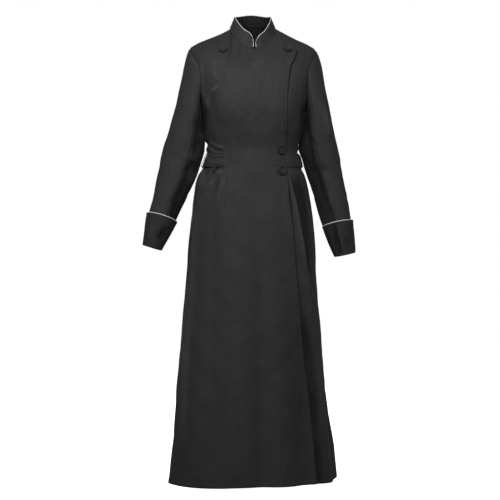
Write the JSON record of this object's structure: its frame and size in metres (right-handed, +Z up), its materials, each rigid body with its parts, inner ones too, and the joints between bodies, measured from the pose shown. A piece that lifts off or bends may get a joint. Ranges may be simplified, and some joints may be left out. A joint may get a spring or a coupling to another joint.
{
  "type": "clergy dress",
  "caption": "Full-length clergy dress in its worn, hollow form, with a crossed front, stand collar, long sleeves with turned cuffs, pale piping, buttons and a waist band.",
  "frame": {"origin": "the middle of the neck, level with the neck ends of the shoulder seams, where the wearer's shoulders and neck hold the dress up", "axes": "+Z up towards the head, -Y to the front of the dress, +X towards the wearer's left"},
  "size_m": [0.6543, 0.3632, 1.4545],
  "materials": {
    "coat_cloth": "charcoal, fine matt weave with a slight sheen",
    "cuff_cloth": "black, fine matt weave",
    "piping": "off-white corded piping",
    "button": "dark, satin, with a raised rim"
  },
  "bodies": {
    "root": {"front_right": "coat_cloth", "front_left": "coat_cloth", "back": "coat_cloth", "sleeve_top_right": "coat_cloth", "sleeve_under_right": "coat_cloth", "sleeve_top_left": "coat_cloth", "sleeve_under_left": "coat_cloth", "cuff_right": "cuff_cloth", "cuff_left": "cuff_cloth", "cuff_piping_right": "piping", "cuff_piping_left": "piping", "collar": "coat_cloth", "collar_piping": "piping", "waist_band": "coat_cloth", "band_loop_right": "coat_cloth", "band_loop_left": "coat_cloth", "button_top_right": "button", "button_top_left": "button", "button_waist": "button", "button_hip": "button"}
  },
  "joints": []
}
